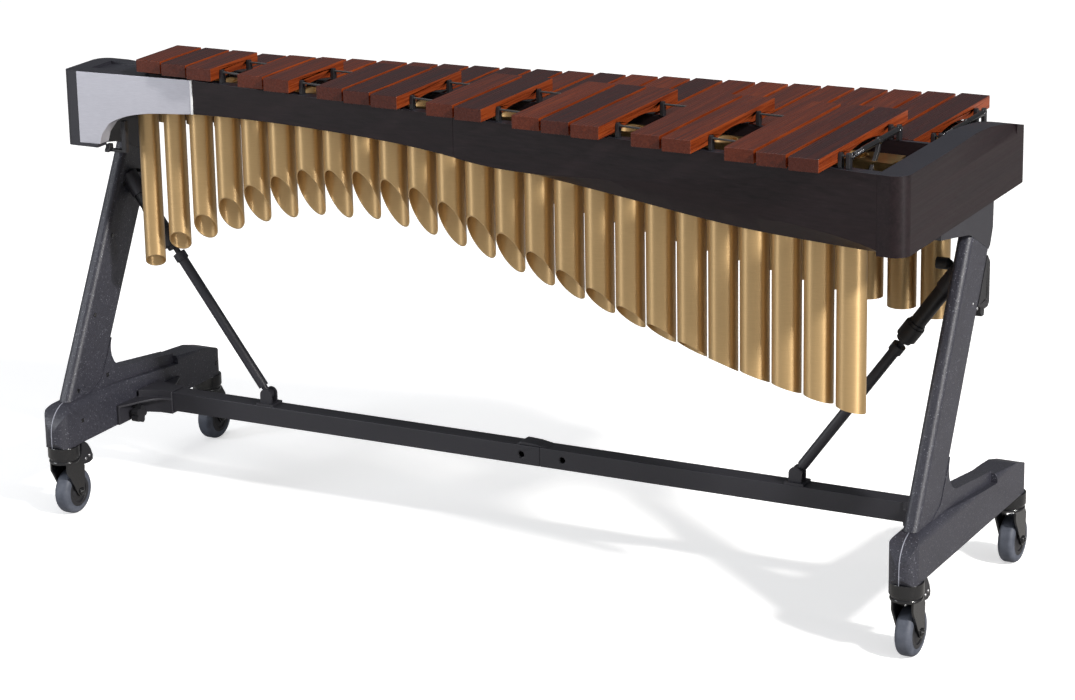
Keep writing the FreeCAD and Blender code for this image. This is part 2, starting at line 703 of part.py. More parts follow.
# flange on the foot, a flared arm to the beam and a wider web above the star knobs
def beam_bracket(side):
    mid = 0.5 * (beam_y0 + beam_y1)

    def plan(half_widths, z0, z1):
        front = [(side * x, mid - h) for x, h in half_widths]
        rear = [(side * x, mid + h) for x, h in half_widths]
        return plan_prism(front + rear[::-1], z0, z1)

    arm = plan([(690.0, 20.0), (715.0, 21.0), (735.0, 27.0), (flange_in_x, 36.0)], beam_z0 - 5.0, beam_z1 + 2.0)
    web = plan([(690.0, 20.0), (705.0, 24.0), (720.0, 36.0), (732.0, 56.0), (741.0, 78.0), (flange_in_x, 97.0)],
               beam_z1 - 14.0, beam_z1 - 10.0)
    x0, x1 = sorted((side * 600.0, side * beam_end_x))
    recess = box(x0, x1, beam_y0, beam_y1, beam_z0, beam_z1)
    x0, x1 = sorted((side * flange_in_x, side * foot_in_x))
    flange = box(x0, x1, mid - 97.0, mid + 97.0, foot_bottom, beam_z1 - 10.0)
    body = arm.fuse(web).cut(recess).fuse(flange)
    for y in knob_y:
        start = Vector(side * (flange_in_x - 5.0), y, knob_z)
        body = body.cut(Part.makeCylinder(4.06, 20.0, start, X_DIR * side))
    return body


save("beam_brackets", beam_bracket(-1), beam_bracket(1))


def star_knob(side, y):
    inner = side * (flange_in_x - 0.4)
    stem = Part.makeCylinder(4.0, 15.0, Vector(inner, y, knob_z), X_DIR * side)
    collar = Part.makeCylinder(8.0, 7.0, Vector(inner, y, knob_z), X_DIR * -side)
    grip = Part.makeCylinder(11.0, 13.0, Vector(inner - side * 7.0, y, knob_z), X_DIR * -side)
    for k in range(5):
        a = 2.0 * math.pi * k / 5.0
        p = Vector(inner - side * 7.0, y + 10.5 * math.cos(a), knob_z + 10.5 * math.sin(a))
        grip = grip.fuse(Part.makeCylinder(5.5, 13.0, p, X_DIR * -side))
    return grip.fuse(collar).fuse(stem)


for name, side in (("high", -1), ("low", 1)):
    save(name + "_front_star_knob", star_knob(side, knob_y[0]))
    save(name + "_rear_star_knob", star_knob(side, knob_y[1]))

# ---- braces: hinged tube ending in a thin rod, sleeve sliding on the rod, locking collar ----
brace_len = 416.0


def brace_point(side, s):
    a = math.atan(brace_tan)
    return Vector(side * (brace_x + s * math.sin(a)), brace_y, brace_z + s * math.cos(a))


def brace_tube(side):
    pivot = brace_point(side, 0)
    eye = Part.makeCylinder(8.0, 12.0, pivot - Y_DIR * 6.0, Y_DIR)
    neck = rod(brace_point(side, 6.0), brace_point(side, 20.0), 5.5)
    tube = rod(brace_point(side, 16.0), brace_point(side, 290.0), 9.0)
    ferrule = rod(brace_point(side, 278.0), brace_point(side, 292.0), 11.5)
    thin = rod(brace_point(side, 290.0), brace_point(side, 396.0), 5.0)
    pin = Part.makeCylinder(4.06, 20.0, pivot - Y_DIR * 10.0, Y_DIR)
    return eye.fuse(neck).fuse(tube).fuse(ferrule).fuse(thin).cut(pin)


def brace_sleeve(side):
    body = rod(brace_point(side, 343.0), brace_point(side, brace_len - 0.4), 13.0)
    mouth = rod(brace_point(side, 312.0), brace_point(side, 343.0), 7.5)
    bore = rod(brace_point(side, 305.0), brace_point(side, 406.5), 5.05)
    return body.fuse(mouth).cut(bore)


def brace_collar(side):
    body = rod(brace_point(side, 303.0), brace_point(side, 310.0), 13.0)
    body = body.fuse(rod(brace_point(side, 310.0), brace_point(side, 337.0), 17.0))
    body = body.fuse(rod(brace_point(side, 337.0), brace_point(side, 342.6), 14.5))
    body = body.cut(rod(brace_point(side, 311.6), brace_point(side, 345.0), 7.85))
    return body.cut(rod(brace_point(side, 300.0), brace_point(side, 313.0), 5.35))


def clevis(side):
    x = side * brace_x
    base = box(x - 17.0, x + 17.0, beam_y0 + 1.0, beam_y1 - 1.0, beam_z1, beam_z1 + 4.0)
    ears = []
    for y in (brace_y - 11.0, brace_y + 6.5):
        ear = box(x - 11.0, x + 11.0, y, y + 4.5, beam_z1 + 4.0, brace_z)
        ears.append(ear.fuse(Part.makeCylinder(11.0, 4.5, Vector(x, y, brace_z), Y_DIR)))
    pin = Part.makeCylinder(4.0, 22.0, Vector(x, brace_y - 11.0, brace_z), Y_DIR)
    return base.fuse(ears).fuse(pin)


def brace_socket(side, blocker):
    body = rod(brace_point(side, brace_len), brace_point(side, brace_len + 40.0), 15.0)
    inner_x = side * (leg_x - col_w / 2.0)
    keep = box(min(inner_x, 0.0), max(inner_x, 0.0), -100.0, 200.0, 400.0, 700.0)
    return body.common(keep).cut([blocker])


fittings = []
for name, side, col in (("high", -1, columns[0]), ("low", 1, columns[1])):
    save(name + "_brace_tube", brace_tube(side))
    save(name + "_brace_sleeve", brace_sleeve(side))
    save(name + "_brace_collar", brace_collar(side))
    fittings += [clevis(side), brace_socket(side, col)]
save("brace_fittings", *fittings)


# ---- casters ----
def caster_socket(side, y):
    ring = Part.makeCylinder(socket_r, foot_bottom - socket_z0, Vector(side * leg_x, y, socket_z0))
    return ring.cut(Part.makeCylinder(6.06, 40.0, Vector(side * leg_x, y, socket_z0 - 5.0)))


def caster_fork(side, y):
    x = side * leg_x
    reach = fork_gap + fork_t
    crown = Part.makeCylinder(24.5, 9.0, Vector(x, y, socket_z0 - 9.4))
    stem = Part.makeCylinder(6.0, 38.0, Vector(x, y, socket_z0 - 2.0))
    arms = []
    for x0 in (x - reach, x + fork_gap):
        yz = [(y - 17.0, socket_z0 - 5.0), (y - 17.0, 84.0), (y + trail - 9.0, 36.0), (y + trail - 4.0, 31.5),
              (y + trail + 4.0, 31.5), (y + trail + 9.0, 36.0), (y + 33.0, 84.0), (y + 20.0, socket_z0 - 5.0)]
        arms.append(side_prism(yz, x0, x0 + fork_t))
    axle = Part.makeCylinder(4.0, 2.0 * reach, Vector(x - reach, y + trail, wheel_r), X_DIR)
    return crown.fuse([stem] + arms + [axle])


def wheel_hub(side, y):
    x = side * leg_x
    centre = Vector(x - wheel_w / 2.0, y + trail, wheel_r)
    body = Part.makeCylinder(hub_r, wheel_w, centre, X_DIR)
    dish = Part.makeCylinder(20.0, 4.0, centre, X_DIR)
    dish2 = Part.makeCylinder(20.0, 4.0, centre + X_DIR * (wheel_w - 4.0), X_DIR)
    body = body.cut([dish, dish2])
    boss = Part.makeCylinder(8.0, wheel_w, centre, X_DIR)
    return body.fuse(boss).cut(Part.makeCylinder(4.06, wheel_w + 10.0, centre - X_DIR * 5.0, X_DIR))


def wheel_tyre(side, y):
    x = side * leg_x
    centre = Vector(x - wheel_w / 2.0, y + trail, wheel_r)
    body = Part.makeCylinder(wheel_r, wheel_w, centre, X_DIR)
    rims = [e for e in body.Edges if e.Length > 6.0 * wheel_r]
    body = body.makeFillet(8.0, rims)
    return body.cut(Part.makeCylinder(hub_r, wheel_w + 2.0, centre - X_DIR, X_DIR))


# curved pedal that stands up behind the fork
def brake_pedal(side, y):
    x = side * leg_x
    half = fork_gap - 1.0
    pivot = Vector(x, y + 24.0, 89.0)
    boss = Part.makeCylinder(4.0, 2.0 * half, pivot - X_DIR * half, X_DIR)
    outline = [(-2.0, 3.0), (-1.0, -3.5), (10.0, -5.0), (30.0, -7.0), (40.0, -4.0), (41.0, 4.0), (36.0, 16.0),
               (28.0, 28.0), (20.0, 34.0), (10.0, 34.0), (8.0, 16.0)]
    yz = [(pivot.y + v, pivot.z + w) for v, w in outline]
    return boss.fuse(side_prism(yz, x - half, x + half))


sockets = []
for name, side, y in (("high_front", -1, caster_y[0]), ("high_rear", -1, caster_y[1]),
                      ("low_front", 1, caster_y[0]), ("low_rear", 1, caster_y[1])):
    sockets.append(caster_socket(side, y))
    save(name + "_caster_fork", caster_fork(side, y))
    save(name + "_wheel_hub", wheel_hub(side, y))
    save(name + "_wheel_tyre", wheel_tyre(side, y))
    if name.endswith("front"):
        save(name + "_brake_pedal", brake_pedal(side, y))
save("caster_sockets", *sockets)
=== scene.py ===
import math

import bmesh
import bpy
from mathutils import Matrix, Vector


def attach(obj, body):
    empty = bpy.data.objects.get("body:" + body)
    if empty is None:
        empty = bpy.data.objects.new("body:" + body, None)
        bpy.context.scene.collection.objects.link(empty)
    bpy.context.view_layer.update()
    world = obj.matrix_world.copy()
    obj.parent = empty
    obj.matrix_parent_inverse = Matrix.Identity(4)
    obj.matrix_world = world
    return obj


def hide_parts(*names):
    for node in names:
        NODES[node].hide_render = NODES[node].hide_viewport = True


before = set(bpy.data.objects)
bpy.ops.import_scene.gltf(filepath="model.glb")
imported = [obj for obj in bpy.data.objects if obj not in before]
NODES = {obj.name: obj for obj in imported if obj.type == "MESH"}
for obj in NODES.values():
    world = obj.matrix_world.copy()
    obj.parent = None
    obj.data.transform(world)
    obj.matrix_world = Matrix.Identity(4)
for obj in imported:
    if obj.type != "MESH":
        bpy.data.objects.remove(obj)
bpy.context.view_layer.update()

# Concert xylophone. Shapes are written in millimetres in the CAD script's own frame: x runs from the
# high end to the low end, and y from front to rear. place() turns that frame into the scene's metres.
ORIGIN_Y = 3.0
MM = 0.001
BAR_PITCH = 0.055


def place(x, y, z):
    return Vector((x, y - ORIGIN_Y, z)) * MM


# ---------------------------------------------------------------- materials
class Shade:
    """A material with a Principled shader and short ways to add nodes to it."""

    def __init__(self, name, rough, metallic=0.0, **sockets):
        self.material = bpy.data.materials.new(name)
        self.material.use_nodes = True
        self.tree = self.material.node_tree
        self.shader = self.tree.nodes["Principled BSDF"]
        self.shader.inputs["Roughness"].default_value = rough
        self.shader.inputs["Metallic"].default_value = metallic
        for key, value in sockets.items():
            self.shader.inputs[key.replace("_", " ")].default_value = value

    def add(self, kind, inputs=None, **settings):
        made = self.tree.nodes.new("ShaderNode" + kind)
        for key, value in settings.items():
            setattr(made, key, value)
        for key, value in (inputs or {}).items():
            self.feed(made.inputs[key], value)
        return made

    def feed(self, socket, value):
        if isinstance(value, bpy.types.NodeSocket):
            self.tree.links.new(value, socket)
        else:
            socket.default_value = value

    def where(self, scale=(1.0, 1.0, 1.0)):
        coords = self.add("TexCoord").outputs["Object"]
        return self.add("Mapping", {"Vector": coords, "Scale": scale}).outputs["Vector"]

    def noise(self, scale, stretch=(1.0, 1.0, 1.0), detail=3.0, rough=0.5, warp=0.0):
        return self.add("TexNoise", {"Vector": self.where(stretch), "Scale": scale, "Detail": detail,
                                     "Roughness": rough, "Distortion": warp}).outputs["Fac"]

    def ramp(self, fac, *stops):
        made = self.add("ValToRGB", {"Fac": fac})
        line = made.color_ramp.elements
        while len(line) < len(stops):
            line.new(0.5)
        for spot, (position, colour) in zip(line, stops):
            spot.position = position
            spot.color = (*colour, 1.0)
        return made.outputs["Color"]

    def level(self, fac, low, high, to_low, to_high):
        return self.add("MapRange", {"Value": fac, "From Min": low, "From Max": high, "To Min": to_low,
                                     "To Max": to_high}).outputs["Result"]

    def mix(self, fac, a, b, blend="MIX"):
        made = self.add("Mix", data_type="RGBA", blend_type=blend)
        self.feed(made.inputs[0], fac)
        for socket, value in ((made.inputs[6], a), (made.inputs[7], b)):
            if isinstance(value, tuple):
                value = (*value, 1.0)
            self.feed(socket, value)
        return made.outputs[2]

    def math(self, operation, a, b=0.0):
        made = self.add("Math", operation=operation)
        self.feed(made.inputs[0], a)
        self.feed(made.inputs[1], b)
        return made.outputs[0]

    def bump(self, height, distance, strength):
        made = self.add("Bump", {"Height": height, "Distance": distance, "Strength": strength})
        return made.outputs["Normal"]

    def finish(self, colour=None, rough=None, normal=None):
        for key, value in (("Base Color", colour), ("Roughness", rough), ("Normal", normal)):
            if value is not None:
                self.feed(self.shader.inputs[key], value)
        return self.material


def rosewood(name, half_pitch):
    """Bars run along Y, each with its own tone. half_pitch moves the bar numbering by half a bar."""
    s = Shade(name, 0.26, Coat_Weight=0.12, Coat_Roughness=0.1, Specular_IOR_Level=0.3)
    split = s.add("SeparateXYZ", {"Vector": s.add("TexCoord").outputs["Object"]})
    number = s.math("FLOOR", s.math("ADD", s.math("DIVIDE", split.outputs["X"], BAR_PITCH), half_pitch))
    tone = s.add("TexWhiteNoise", {"W": number}, noise_dimensions="1D").outputs["Value"]
    shift = s.add("CombineXYZ", {"X": number, "Y": s.math("MULTIPLY", tone, 3.0), "Z": 0.0})
    moved = s.add("VectorMath", {0: s.where(), 1: shift.outputs["Vector"]}, operation="ADD").outputs["Vector"]

    def grain(stretch, detail, rough, warp):
        at = s.add("Mapping", {"Vector": moved, "Scale": stretch}).outputs["Vector"]
        return s.add("TexNoise", {"Vector": at, "Scale": 1.0, "Detail": detail, "Roughness": rough,
                                  "Distortion": warp}).outputs["Fac"]

    fine = grain((190.0, 6.0, 190.0), 5.0, 0.6, 0.6)
    wide = grain((55.0, 2.2, 55.0), 2.0, 0.5, 1.4)
    dark = s.ramp(fine, (0.3, (0.020, 0.0045, 0.005)), (0.55, (0.036, 0.007, 0.006)),
                  (0.75, (0.058, 0.010, 0.006)))
    warm = s.ramp(fine, (0.3, (0.080, 0.012, 0.0035)), (0.55, (0.135, 0.021, 0.0045)),
                  (0.75, (0.20, 0.038, 0.007)))
    share = s.math("ADD", s.math("MULTIPLY", tone, 0.9), s.math("MULTIPLY", wide, 0.35))
    board = s.mix(s.level(share, 0.35, 0.95, 0.0, 1.0), dark, warm)
    face = s.add("SeparateXYZ", {"Vector": s.add("NewGeometry").outputs["True Normal"]})
    # Faces looking along X turn a brighter orange. This is partly the redder sawn tone of the wood and partly
    # painted light where the side faces catch the lamp.
    side = s.level(s.math("ABSOLUTE", face.outputs["X"]), 0.5, 0.95, 0.0, 0.8)
    sawn_and_lit_side = s.ramp(fine, (0.28, (0.12, 0.017, 0.0045)), (0.7, (0.34, 0.064, 0.013)))
    colour = s.mix(side, board, sawn_and_lit_side)
    end = s.level(s.math("ABSOLUTE", face.outputs["Y"]), 0.6, 0.95, 0.0, 0.55)
    pores = s.noise(900.0, detail=2.0)
    end_grain = s.ramp(pores, (0.35, (0.045, 0.0095, 0.006)), (0.7, (0.13, 0.028, 0.012)))
    colour = s.mix(end, colour, end_grain)
    rough = s.level(fine, 0.25, 0.75, 0.2, 0.34)
    hair = s.noise(1.0, (1400.0, 30.0, 1400.0), 3.0)
    return s.finish(colour, rough, s.bump(hair, 0.00012, 0.35))


def dark_wood(name, along):
    """Dark stained veneer with fine open pores that run along one axis: 0 is X and 1 is Y."""
    stretch = [260.0, 260.0, 260.0]
    stretch[along] = 5.0
    s = Shade(name, 0.42, Specular_IOR_Level=0.22, Coat_Weight=0.05, Coat_Roughness=0.2)
    fine = s.noise(1.0, tuple(stretch), 5.0, 0.62, 0.4)
    wide = s.noise(1.0, tuple(v / 9.0 for v in stretch), 2.0, 0.5, 1.0)
    base = s.ramp(fine, (0.3, (0.006, 0.0038, 0.0048)), (0.6, (0.0145, 0.0088, 0.011)),
                  (0.8, (0.027, 0.016, 0.019)))
    colour = s.mix(s.level(wide, 0.3, 0.7, 0.0, 0.6), base, (0.019, 0.0105, 0.012))
    pores = s.noise(1.0, tuple(v * 5.0 for v in stretch), 2.0, 0.6)
    return s.finish(colour, s.level(fine, 0.3, 0.7, 0.36, 0.5), s.bump(pores, 0.0001, 0.4))


def brushed(name, dark, light, rough, stretch, metallic=1.0, depth=0.00004, upright=0.0):
    """Brushed metal: streaks run along the axis with the small stretch. upright draws its glints out in Z."""
    s = Shade(name, rough, metallic, Anisotropic=upright)
    if upright:
        s.feed(s.shader.inputs["Tangent"], s.add("CombineXYZ", {"Z": 1.0}).outputs["Vector"])
    streak = s.noise(1.0, stretch, 4.0, 0.65)
    cloud = s.noise(9.0, (1.0, 1.0, 0.4), 2.0)
    colour = s.mix(s.level(streak, 0.3, 0.7, 0.0, 1.0), dark, light)
    colour = s.mix(s.level(cloud, 0.35, 0.7, 0.0, 0.22), colour, dark)
    height = s.noise(1.0, tuple(v * 3.0 for v in stretch), 2.0)
    return s.finish(colour, s.level(streak, 0.25, 0.75, rough - 0.03, rough + 0.04), s.bump(height, depth, 0.3))


def textured(name, dark, light, rough, grain_mm, depth, speck=None):
    """Moulded or powder-coated surface: fine grain in height, colour and gloss, with light specks if asked."""
    s = Shade(name, rough)
    scale = 1.0 / (grain_mm * MM)
    grain = s.noise(scale, detail=2.0, rough=0.6)
    cloud = s.noise(14.0, detail=3.0)
    colour = s.mix(s.level(grain, 0.35, 0.65, 0.0, 1.0), dark, light)
    colour = s.mix(s.level(cloud, 0.35, 0.65, 0.0, 0.3), colour, dark)
    if speck:
        cells = s.add("TexVoronoi", {"Vector": s.where(), "Scale": scale * 0.62}, feature="F1")
        dots = cells.outputs["Distance"]
        pick = s.noise(scale * 0.4, detail=1.0)
        dot = s.math("MULTIPLY", s.level(dots, 0.16, 0.3, 1.0, 0.0), s.level(pick, 0.5, 0.62, 0.0, 1.0))
        colour = s.mix(dot, colour, speck)
    return s.finish(colour, s.level(grain, 0.3, 0.7, rough - 0.06, rough + 0.08), s.bump(grain, depth, 0.55))


def gloss(name, base, rough):
    """Glossy moulding with faint scuffs."""
    s = Shade(name, rough, Coat_Weight=0.4, Coat_Roughness=0.08)
    scuff = s.noise(220.0, (1.0, 1.0, 0.3), 4.0, 0.7)
    colour = s.mix(s.level(scuff, 0.55, 0.8, 0.0, 0.5), base, tuple(min(1.0, v * 2.2 + 0.01) for v in base))
    return s.finish(colour, s.level(scuff, 0.35, 0.75, rough - 0.04, rough + 0.14),
                    s.bump(s.noise(500.0, detail=2.0), 0.00003, 0.25))


def rubber(name):
    s = Shade(name, 0.62)
    grain = s.noise(700.0, detail=3.0)
    dust = s.noise(45.0, detail=4.0, rough=0.65)
    colour = s.mix(s.level(dust, 0.35, 0.7, 0.0, 1.0), (0.060, 0.068, 0.090), (0.105, 0.115, 0.145))
    return s.finish(colour, s.level(grain, 0.3, 0.7, 0.52, 0.72), s.bump(grain, 0.00008, 0.4))


def braid(name):
    s = Shade(name, 0.75, Sheen_Weight=0.3)
    wave = s.add("TexWave", {"Vector": s.where(), "Scale": 260.0, "Distortion": 2.0, "Detail": 1.0},
                 bands_direction="DIAGONAL").outputs["Fac"]
    colour = s.ramp(wave, (0.2, (0.006, 0.006, 0.007)), (0.8, (0.035, 0.034, 0.036)))
    return s.finish(colour, None, s.bump(wave, 0.0003, 0.7))


NAT_WOOD = rosewood("rosewood_naturals", 0.0)
ACC_WOOD = rosewood("rosewood_accidentals", 0.5)
RAIL_WOOD = dark_wood("dark_wood_rail", 0)
PANEL_WOOD = dark_wood("dark_wood_panel", 1)
GOLD = brushed("gold_tube", (0.56, 0.375, 0.175), (0.62, 0.42, 0.20), 0.42, (60.0, 60.0, 900.0), 0.62,
               depth=0.000003, upright=0.7)
GOLD_SHEET = brushed("gold_sheet", (0.58, 0.40, 0.17), (0.68, 0.48, 0.22), 0.34, (7.0, 420.0, 420.0))
SILVER = brushed("silver_plate", (0.52, 0.52, 0.58), (0.60, 0.60, 0.66), 0.42, (40.0, 900.0, 900.0), 0.6)
# The trim strip is a near-white non-metal. Its colour is a painted reflection that stands in for the shine of a
# metal strip.
TRIM_PAINTED_REFLECTION = brushed("bright_trim", (0.93, 0.93, 0.93), (0.99, 0.99, 0.99), 0.3, (600.0, 600.0, 9.0), 0.0)
STEEL = brushed("steel", (0.42, 0.42, 0.44), (0.60, 0.60, 0.62), 0.3, (500.0, 500.0, 60.0))
DARK_STEEL = brushed("dark_steel", (0.10, 0.10, 0.11), (0.20, 0.20, 0.21), 0.28, (500.0, 500.0, 60.0))
MOULDED = textured("moulded_grey", (0.020, 0.0205, 0.028), (0.046, 0.046, 0.062), 0.4, 1.9, 0.0009,
                   (0.20, 0.205, 0.24))
# The seam beads are pale grey. That colour is a painted highlight along the parting lines of the dark moulding.
SEAM_PAINTED_HIGHLIGHT = textured("mould_seam_painted_highlight", (0.20, 0.205, 0.25), (0.32, 0.33, 0.38), 0.35, 1.2, 0.0001)
POWDER = textured("black_powder_coat", (0.019, 0.019, 0.024), (0.034, 0.033, 0.042), 0.45, 0.5, 0.00007)
PLASTIC = textured("black_plastic", (0.010, 0.010, 0.012), (0.022, 0.022, 0.026), 0.42, 0.6, 0.00006)
CAP = textured("end_cap_plastic", (0.018, 0.018, 0.024), (0.030, 0.030, 0.040), 0.4, 0.7, 0.00008)
GLOSSY = gloss("glossy_black", (0.0085, 0.0085, 0.0095), 0.16)
RUBBER = rubber("tyre_rubber")
CORD = braid("braided_cord")


# ---------------------------------------------------------------- CAD nodes that stay
def keep(node, *materials, bevel=0.0, segments=2, angle=35.0, slot_of=None):
    """A CAD node keeps its mesh. It gets its materials, softened edges and, by slot_of, a second material."""
    piece = NODES[node]
    piece.data.materials.clear()
    for m in materials:
        piece.data.materials.append(m)
    if slot_of:
        for face in piece.data.polygons:
            face.material_index = slot_of(face)
    if bevel:
        weld = piece.modifiers.new("weld", "WELD")
        weld.merge_threshold = 0.00001
        edge = piece.modifiers.new("soft_edges", "BEVEL")
        edge.width = bevel * MM
        edge.segments = segments
        edge.limit_method = "ANGLE"
        edge.angle_limit = math.radians(angle)
        edge.use_clamp_overlap = True
        edge.harden_normals = False
        even = piece.modifiers.new("even_normals", "WEIGHTED_NORMAL")
        even.keep_sharp = False
        even.weight = 90


def upward(face):
    return 1 if face.normal.z > 0.7 else 0


for node in ("natural_bars_low", "natural_bars_high"):
    keep(node, NAT_WOOD, bevel=1.3, segments=3)
for node in ("accidental_bars_low", "accidental_bars_high"):
    keep(node, ACC_WOOD, bevel=1.3, segments=3)
for node in ("front_rail_low_half", "front_rail_high_half"):
    keep(node, RAIL_WOOD, CAP, bevel=1.0, slot_of=upward)
keep("back_rail", RAIL_WOOD, CAP, bevel=1.0, slot_of=upward)
keep("inner_rails", RAIL_WOOD, CAP, bevel=0.6, slot_of=upward)
keep("low_end_panel", PANEL_WOOD, CAP, bevel=1.2, slot_of=upward)
keep("high_end_panel", CAP, bevel=1.5)
keep("silver_end_plate", SILVER, CAP, bevel=0.8, slot_of=upward)
# The strip's white colour is a painted reflection.
keep("trim_strip", TRIM_PAINTED_REFLECTION, bevel=0.4)
for node in ("accidental_resonator_tubes", "natural_resonator_tubes"):
    keep(node, GOLD)
for node in ("accidental_resonator_deck", "natural_resonator_deck"):
    keep(node, GOLD_SHEET)
for side in ("high", "low"):
    keep(side + "_foot", MOULDED, bevel=3.0, segments=3, angle=5.0)
    keep(side + "_column", MOULDED, bevel=0.8)
    for spot in ("front", "rear"):
        keep(f"{side}_{spot}_star_knob", PLASTIC, bevel=1.2, segments=3)
        keep(f"{side}_{spot}_caster_fork", GLOSSY, bevel=0.8)
        keep(f"{side}_{spot}_wheel_hub", PLASTIC, bevel=0.8)
        keep(f"{side}_{spot}_wheel_tyre", RUBBER)
    keep(side + "_front_brake_pedal", PLASTIC, bevel=0.6)
    keep(side + "_height_knob", PLASTIC, bevel=1.0)
    keep(side + "_clamp_lever", PLASTIC, bevel=0.8)
    keep(side + "_brace_tube", POWDER, bevel=0.6)
    keep(side + "_brace_sleeve", PLASTIC, bevel=1.0)
    keep(side + "_brace_collar", PLASTIC, bevel=1.0)
for node in ("crossbeam_high_half", "crossbeam_low_half", "crossbeam_sleeve"):
    keep(node, POWDER, bevel=1.4, segments=3)
keep("beam_brackets", POWDER, bevel=1.2)
keep("brace_fittings", POWDER, bevel=0.8)
keep("frame_gussets", POWDER, bevel=1.2)
keep("clamp_housings", PLASTIC, bevel=1.2)
keep("caster_sockets", GLOSSY, bevel=1.5)
keep("slide_bars", STEEL, bevel=0.5)
keep("cord_posts", PLASTIC, bevel=0.5)
keep("bar_cords", CORD)


# ---------------------------------------------------------------- pieces made here
def add_piece(name, bm, material, body, bevel=0.0):
    """A finished mesh becomes a piece that rides on a body."""
    bmesh.ops.recalc_face_normals(bm, faces=bm.faces)
    mesh = bpy.data.meshes.new(name)
    bm.to_mesh(mesh)
    bm.free()
    mesh.materials.append(material)
    piece = bpy.data.objects.new(name, mesh)
    bpy.context.scene.collection.objects.link(piece)
    mesh.shade_smooth()
    if bevel:
        edge = piece.modifiers.new("soft_edges", "BEVEL")
        edge.width = bevel * MM
        edge.segments = 2
        edge.limit_method = "ANGLE"
        edge.angle_limit = math.radians(40.0)
        even = piece.modifiers.new("even_normals", "WEIGHTED_NORMAL")
        even.keep_sharp = False
    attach(piece, body)
    return piece


def add_plate(bm, outline, x0, x1):
    """A plate between two planes of X, from its outline as (y, z) points."""
    sides = [[bm.verts.new(place(x, y, z)) for y, z in outline] for x in (x0, x1)]
    bm.faces.new(sides[0])
    bm.faces.new(sides[1][::-1])
    for k in range(len(outline)):
        n = (k + 1) % len(outline)
        bm.faces.new((sides[0][k], sides[0][n], sides[1][n], sides[1][k]))


def across(direction):
    """Two unit vectors square to a direction."""
    seed = Vector((0.0, 0.0, 1.0)) if abs(direction.z) < 0.9 else Vector((1.0, 0.0, 0.0))
    u = direction.cross(seed).normalized()
    return u, direction.cross(u).normalized()


def add_turned(bm, centre, direction, profile, steps=24):
    """A turned shape: profile is (distance along the axis, radius) in millimetres."""
    axis = Vector(direction).normalized()
    u, v = across(axis)
    start = place(*centre)
    rings = []
    for along, radius in profile:
        at = start + axis * along * MM
        if radius == 0:
            rings.append([bm.verts.new(at)])
            continue
        turn = [2.0 * math.pi * k / steps for k in range(steps)]
        rings.append([bm.verts.new(at + (u * math.cos(a) + v * math.sin(a)) * radius * MM) for a in turn])
    for a, b in zip(rings, rings[1:]):
        for k in range(steps):
            n = (k + 1) % steps
            loop = [a[k % len(a)], a[n % len(a)], b[n % len(b)], b[k % len(b)]]
            bm.faces.new(list(dict.fromkeys(loop)))


def add_wire(bm, points, radius, sides=8):
    """A round wire through points given in millimetres, with closed ends."""
    line = [place(*p) for p in points]
    u = None
    rings = []
    for k, at in enumerate(line):
        ahead = (line[min(k + 1, len(line) - 1)] - line[max(k - 1, 0)]).normalized()
        u = across(ahead)[0] if u is None else (u - ahead * u.dot(ahead)).normalized()
        v = ahead.cross(u)
        turn = [2.0 * math.pi * j / sides for j in range(sides)]
        rings.append([bm.verts.new(at + (u * math.cos(a) + v * math.sin(a)) * radius * MM) for a in turn])
    for a, b in zip(rings, rings[1:]):
        for j in range(sides):
            n = (j + 1) % sides
            bm.faces.new((a[j], a[n], b[n], b[j]))
    bm.faces.new(rings[0][::-1])
    bm.faces.new(rings[-1])


LEG_X = 779.0
NOSE_Y = -222.0
NOSE_R = 48.0
NOSE_Z = 156.0
LEAN = math.radians(27.5)
ENDS = (("high", -1), ("low", 1))
CASTER_Y = (("front", -189.0), ("rear", 263.0))
AXLE_TRAIL = 20.0
AXLE_Z = 40.0
CROWN_Z = 98.4
BRAKE_TRAIL = 24.0
BRAKE_Z = 89.0


def column_point(side, s, t, out=0.0):
    """A point of a leg column: s up along it from its top end, t towards its rear, out away from the middle."""
    y = 68.8 + s * math.sin(LEAN) + t * math.cos(LEAN)
    z = 598.0 + s * math.cos(LEAN) - t * math.sin(LEAN)
    return side * (LEG_X + out), y, z


def circle(steps):
    """Angles once around, with the first repeated at the end."""
    return [2.0 * math.pi * k / steps for k in range(steps + 1)]


# Cord ends at the low end: x, the y of the front and rear cord lines, cord height, rail top.
ACC_CORDS = (706.0, -243.9, -46.9, 796.3, 778.0)
NAT_CORDS = (732.0, 61.6, 248.0, 761.7, 743.0)
LINK_MIDDLE = 0.56
SPRING_SHARE = 0.22


